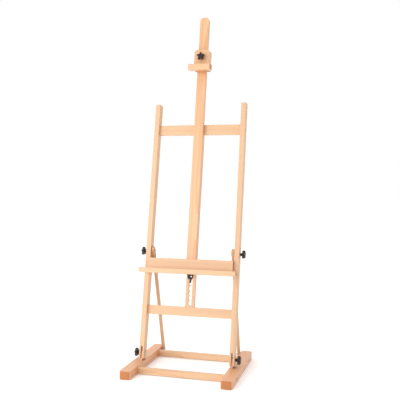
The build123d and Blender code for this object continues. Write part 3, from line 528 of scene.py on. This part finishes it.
def knob_profile(knobs, bore):
    """The knob's outline from the middle of its face, over the rim, down the hub and into the bore.

    Each point is (radius, height, share): share says how far the lobes reach in there, from 0,
    round, to 1, full star.
    """
    rim, floor = knobs.rim, KNOB_L - knobs.dish
    crown = KNOB_L - FACE_FALL
    turn_of_dish = arc_points((DISH_R - DISH_EDGE_R, floor + DISH_EDGE_R), DISH_EDGE_R, -90, -20, 4)
    turn_of_rim = arc_points((KNOB_R - rim, crown - rim), rim, 90, 0, 7)
    turn_under = arc_points((KNOB_R - UNDER_R, HUB_L + UNDER_R), UNDER_R, 0, -90, 4)
    turn_of_neck = arc_points((HUB_TOP_R + 1.4 * MM, HUB_L - UNDER_R), UNDER_R, 90, 175, 4)

    face = [(0.0, floor, 0.0), (0.6 * DISH_R, floor, 0.0)]
    face += [(radius, height, 0.0) for radius, height in turn_of_dish]
    face += [(DISH_R + 0.2 * MM, KNOB_L - 0.15 * MM, 0.0), (DISH_R + 1.0 * MM, KNOB_L, 0.1)]
    face += [(0.5 * (DISH_R + KNOB_R - rim), KNOB_L - 0.1 * MM, 0.65)]
    edge = [(radius, height, 1.0) for radius, height in turn_of_rim + turn_under]
    neck = [(14.0 * MM, HUB_L, 0.8), (HUB_TOP_R + UNDER_R, HUB_L, 0.0)]
    neck += [(radius, height, 0.0) for radius, height in turn_of_neck]
    hub = [(HUB_R + 0.15 * MM, 0.6 * MM, 0.0), (HUB_R - 0.3 * MM, 0.0, 0.0)]
    hole = [(bore, 0.0, 0.0), (bore, BORE_L, 0.0), (0.0, BORE_L, 0.0)]
    return face + edge + neck + hub + hole


def star_radius(angle, knobs):
    """The star's outline: its radius at an angle, as a share of the radius at the tips."""
    middle, swing = (1 + knobs.valley) / 2, (1 - knobs.valley) / 2
    point = 0.012                               # sharpens the tips a little and widens the valleys
    wave = cos(knobs.lobes * angle)
    return middle - point + swing * wave + point * cos(2 * knobs.lobes * angle)


def star_knob(name, knobs, place, bore):
    """A moulded star knob, its hub's end at the place's origin and its face along the place's +Z."""
    profile = knob_profile(knobs, bore)
    steps = LOBE_STEPS * knobs.lobes
    shape = bmesh.new()
    rings = []
    for radius, height, share in profile:
        if radius == 0.0:
            rings.append([shape.verts.new((0.0, 0.0, height))])
            continue
        ring = []
        for index in range(steps):
            angle = 2 * pi * index / steps
            reach = radius * (1 + share * (star_radius(angle, knobs) - 1))
            ring.append(shape.verts.new((reach * sin(angle), reach * cos(angle), height)))
        rings.append(ring)
    for upper, lower in zip(rings, rings[1:]):
        for index in range(steps):
            after = (index + 1) % steps
            corners = [upper[index % len(upper)], upper[after % len(upper)]]
            corners += [lower[after % len(lower)], lower[index % len(lower)]]
            shape.faces.new(list(dict.fromkeys(corners)))   # a ring of one point gives a triangle
    bmesh.ops.recalc_face_normals(shape, faces=shape.faces)
    shape.transform(place)
    mesh = bpy.data.meshes.new(name)
    shape.to_mesh(mesh)
    shape.free()
    mesh.shade_smooth()
    mesh.set_sharp_from_angle(angle=radians(50))
    knob = bpy.data.objects.new(name, mesh)
    bpy.context.scene.collection.objects.link(knob)
    return knob


def upright_place(point, axis):
    """A frame at a point with its +Z along an axis and its +Y as nearly up as can be."""
    z = Vector(axis).normalized()
    x = Vector((0, 0, 1)).cross(z)
    x = Vector((1, 0, 0)) if x.length < 0.01 else x.normalized()
    y = z.cross(x)
    turned = Matrix((x, y, z)).transposed().to_4x4()
    return Matrix.Translation(Vector(point)) @ turned


# ----------------------------------------------------------------------------------------------
# Operators: one for each group of pieces, and one for the stage
# ----------------------------------------------------------------------------------------------

def lacquer(context, names, tint):
    """Gives timber pieces lacquered beech of one tint, each from its own log."""
    timber = context.scene.easel_timber
    places = sorted(row["node"] for row in frame["record"]["subparts"])
    for name in names:
        piece = cad_node(name)
        wear_material(piece, lacquered_beech(piece, timber, getattr(timber, tint), places.index(name)))


def finish_metal(context, names, finish):
    """Gives metal pieces one shared finish."""
    for name in names:
        wear_material(cad_node(name), shared_material(finish, context.scene.easel_metals))


class EASEL_OT_base_timber(bpy.types.Operator):
    """Lacquers the runners, the rails between them and the hinge tongues"""

    bl_idname = "easel.base_timber"
    bl_label = "Lacquer the base"

    def execute(self, context):
        lacquer(context, ("runner_left", "runner_right"), "base_tint")
        lacquer(context, ("front_base_rail",), "plain_tint")
        # Painted light: the rear rail gets a lighter tint, to lift the shade the runners and hinge tongues cast on
        # it.
        lacquer(context, ("rear_base_rail",), "pale_tint")
        lacquer(context, ("hinge_tongue_left", "hinge_tongue_right"), "base_tint")
        return {"FINISHED"}


class EASEL_OT_frame_timber(bpy.types.Operator):
    """Lacquers the posts, the rails between them and the slotted stile"""

    bl_idname = "easel.frame_timber"
    bl_label = "Lacquer the frame"

    def execute(self, context):
        names = ("post_left", "post_right", "upper_rail", "lower_rail", "rack_stile", "mast_guide_key")
        lacquer(context, names, "plain_tint")
        return {"FINISHED"}


class EASEL_OT_strut_timber(bpy.types.Operator):
    """Lacquers the two struts"""

    bl_idname = "easel.strut_timber"
    bl_label = "Lacquer the struts"

    def execute(self, context):
        # Painted shade: the struts get a darker tint, for the shade they stand in behind the posts.
        lacquer(context, ("strut_left", "strut_right"), "strut_tint")
        return {"FINISHED"}


class EASEL_OT_mast_timber(bpy.types.Operator):
    """Lacquers the mast and the two pieces that guide it"""

    bl_idname = "easel.mast_timber"
    bl_label = "Lacquer the mast"

    def execute(self, context):
        lacquer(context, ("mast", "guide_block", "guide_keeper"), "mast_tint")
        return {"FINISHED"}


class EASEL_OT_tray_timber(bpy.types.Operator):
    """Lacquers the tray's board, shelf and front lip"""

    bl_idname = "easel.tray_timber"
    bl_label = "Lacquer the tray"

    def execute(self, context):
        # Painted light: the back board and shelf get a lighter tint than the lip, to lift the shade the shelf and
        # lip cast on them.
        lacquer(context, ("tray_back_board", "tray_shelf"), "pale_tint")
        lacquer(context, ("tray_front_lip",), "plain_tint")
        return {"FINISHED"}


class EASEL_OT_holder_timber(bpy.types.Operator):
    """Lacquers the canvas holder's block, plate and ledge"""

    bl_idname = "easel.holder_timber"
    bl_label = "Lacquer the canvas holder"

    def execute(self, context):
        lacquer(context, ("holder_block", "holder_back_plate", "holder_ledge"), "mast_tint")
        return {"FINISHED"}


class EASEL_OT_star_knobs(bpy.types.Operator):
    """Makes the five moulded star knobs"""

    bl_idname = "easel.star_knobs"
    bl_label = "Mould the star knobs"

    def execute(self, context):
        knobs = context.scene.easel_knobs
        plastic = shared_material(moulded_phenolic, knobs)
        joints = [joint for joint in frame["joints"] if "knob" in joint["name"]]
        if not joints:
            raise RuntimeError("the easel has no knob that turns")
        for joint in joints:
            body = joint["child"]
            bore = STUD_R if body == "holder_knob" else BORE_R
            place = upright_place(joint["pos_m"], joint["axis"])
            knob = star_knob(f"star_{body}", knobs, place, bore)
            wear_material(knob, plastic)
            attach(knob, body)
            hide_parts(body)
        return {"FINISHED"}


class EASEL_OT_hardware(bpy.types.Operator):
    """Plates every bolt, washer, nut and screw"""

    bl_idname = "easel.hardware"
    bl_label = "Plate the hardware"

    def execute(self, context):
        for slot, finish in (("zinc_steel", zinc_plated_steel), ("brass_insert", turned_brass)):
            names = [row["node"] for row in frame["record"]["subparts"] if row["material_slot"] == slot]
            if not names:
                raise RuntimeError(f"the easel has no piece in {slot}")
            finish_metal(context, names, finish)
        return {"FINISHED"}


class EASEL_OT_latch(bpy.types.Operator):
    """Blackens the latch's bracket and pawl, and plates its pin"""

    bl_idname = "easel.latch"
    bl_label = "Blacken the latch"

    def execute(self, context):
        finish_metal(context, ("latch_bracket", "latch_pawl"), black_oxide_steel)
        finish_metal(context, ("latch_pin",), zinc_plated_steel)
        return {"FINISHED"}


class EASEL_OT_stage(bpy.types.Operator):
    """Sets up the white floor, the lights and the camera"""

    bl_idname = "easel.stage"
    bl_label = "Set the stage"

    def execute(self, context):
        scene = context.scene
        settings = scene.easel_stage
        self.lay_floor(scene, settings)
        self.light_room(scene, settings)
        self.light_key(scene, settings)
        self.place_camera(scene, settings)
        return {"FINISHED"}

    def lay_floor(self, scene, settings):
        """A wide round floor."""
        shape = bmesh.new()
        bmesh.ops.create_circle(shape, cap_ends=True, segments=96, radius=settings.floor_radius)
        mesh = bpy.data.meshes.new("floor")
        shape.to_mesh(mesh)
        shape.free()
        floor = bpy.data.objects.new("floor", mesh)
        scene.collection.objects.link(floor)
        wear_material(floor, seamless_paper(settings))

    def light_room(self, scene, settings):
        """A white room with a bright ceiling and a dark band high in its near right corner.

        The band gives the easel's right-hand sides their shade, and stays above the horizon so
        that the background is white from every side.
        """
        world = bpy.data.worlds.new("white_room")
        world.use_nodes = True
        tree = world.node_tree
        tree.nodes.clear()
        sight = add_node(tree, "TexCoord")
        parts = add_node(tree, "SeparateXYZ", {"Vector": sight.outputs["Generated"]})
        toward = add_node(tree, "VectorMath", {
            0: sight.outputs["Generated"], 1: settings.shade_side,
        }, operation="DOT_PRODUCT")
        wall = add_node(tree, "MapRange", {
            "Value": toward.outputs["Value"], "From Min": -0.1, "From Max": 0.3, "To Max": settings.shade,
        }, interpolation_type="SMOOTHSTEP")
        below = add_node(tree, "MapRange", {
            "Value": parts.outputs["Z"], "From Min": 0.9, "From Max": 0.6,
        }, interpolation_type="SMOOTHSTEP")
        above = add_node(tree, "MapRange", {
            "Value": parts.outputs["Z"], "From Min": 0.28, "From Max": 0.40,
        }, interpolation_type="SMOOTHSTEP")
        band = add_node(tree, "Math", {
            0: below.outputs["Result"], 1: above.outputs["Result"],
        }, operation="MULTIPLY")
        dark = add_node(tree, "Math", {
            0: wall.outputs["Result"], 1: band.outputs["Value"],
        }, operation="MULTIPLY")
        high = add_node(tree, "MapRange", {
            "Value": parts.outputs["Z"], "From Min": 0.4, "From Max": 0.9, "To Min": 1.0,
            "To Max": settings.ceiling,
        }, interpolation_type="SMOOTHSTEP")
        power = add_node(tree, "Math", {
            0: high.outputs["Result"], 1: dark.outputs["Value"],
        }, operation="SUBTRACT")
        power = add_node(tree, "Math", {0: power.outputs["Value"], 1: settings.sky}, operation="MULTIPLY")
        glow = add_node(tree, "Background", {"Color": (1, 1, 1, 1), "Strength": power.outputs["Value"]})
        add_node(tree, "OutputWorld", {"Surface": glow.outputs["Background"]})
        scene.world = world
        scene.view_settings.view_transform = "Standard"

    def light_key(self, scene, settings):
        """A large square soft light in front, on the left, aimed at the middle of the easel."""
        lamp = bpy.data.lights.new("key_light", "AREA")
        lamp.shape, lamp.size, lamp.energy = "SQUARE", settings.key_size, settings.key_power
        light = bpy.data.objects.new("key_light", lamp)
        place = Vector(settings.key_place)
        aim = (cad_box[0] + cad_box[1]) / 2 - place
        light.matrix_world = Matrix.Translation(place) @ aim.to_track_quat("-Z", "Y").to_matrix().to_4x4()
        scene.collection.objects.link(light)

    def place_camera(self, scene, settings):
        """The camera, level but for a slight tilt down and roll."""
        data = bpy.data.cameras.new("camera")
        data.lens, data.sensor_width = settings.lens, 36.0
        camera = bpy.data.objects.new("camera", data)
        tilt, roll, turn = settings.camera_turn
        aimed = Euler((pi / 2 + tilt, 0.0, turn)).to_matrix() @ Matrix.Rotation(roll, 3, "Z")
        camera.matrix_world = Matrix.Translation(settings.camera_place) @ aimed.to_4x4()
        scene.collection.objects.link(camera)
        scene.camera = camera


class EASEL_PT_panel(bpy.types.Panel):
    """Lists the easel's operators and settings"""

    bl_label = "Studio Easel"
    bl_idname = "EASEL_PT_panel"
    bl_space_type = "VIEW_3D"
    bl_region_type = "UI"
    bl_category = "Easel"

    def draw(self, context):
        for operator in OPERATORS:
            self.layout.operator(operator.bl_idname)
        for group in SETTINGS:
            box = self.layout.box()
            settings = getattr(context.scene, group)
            for name in settings.bl_rna.properties.keys():
                if name not in ("rna_type", "name"):
                    box.prop(settings, name)


SETTINGS = {
    "easel_timber": EaselTimber,
    "easel_knobs": EaselKnobs,
    "easel_metals": EaselMetals,
    "easel_stage": EaselStage,
}
OPERATORS = (
    EASEL_OT_base_timber, EASEL_OT_frame_timber, EASEL_OT_strut_timber, EASEL_OT_mast_timber,
    EASEL_OT_tray_timber, EASEL_OT_holder_timber, EASEL_OT_star_knobs, EASEL_OT_hardware,
    EASEL_OT_latch, EASEL_OT_stage,
)


def register():
    """Adds the settings, operators and panel."""
    for kind in (*SETTINGS.values(), *OPERATORS, EASEL_PT_panel):
        bpy.utils.register_class(kind)
    for name, kind in SETTINGS.items():
        setattr(bpy.types.Scene, name, bpy.props.PointerProperty(type=kind))


def unregister():
    """Takes them away again."""
    for name in SETTINGS:
        delattr(bpy.types.Scene, name)
    for kind in reversed((*SETTINGS.values(), *OPERATORS, EASEL_PT_panel)):
        bpy.utils.unregister_class(kind)


def main():
    """Finishes the easel."""
    register()
    bpy.ops.easel.base_timber()
    bpy.ops.easel.frame_timber()
    bpy.ops.easel.strut_timber()
    bpy.ops.easel.mast_timber()
    bpy.ops.easel.tray_timber()
    bpy.ops.easel.holder_timber()
    bpy.ops.easel.star_knobs()
    bpy.ops.easel.hardware()
    bpy.ops.easel.latch()
    bpy.ops.easel.stage()
    bpy.context.view_layer.update()


if __name__ == "__main__":
    main()
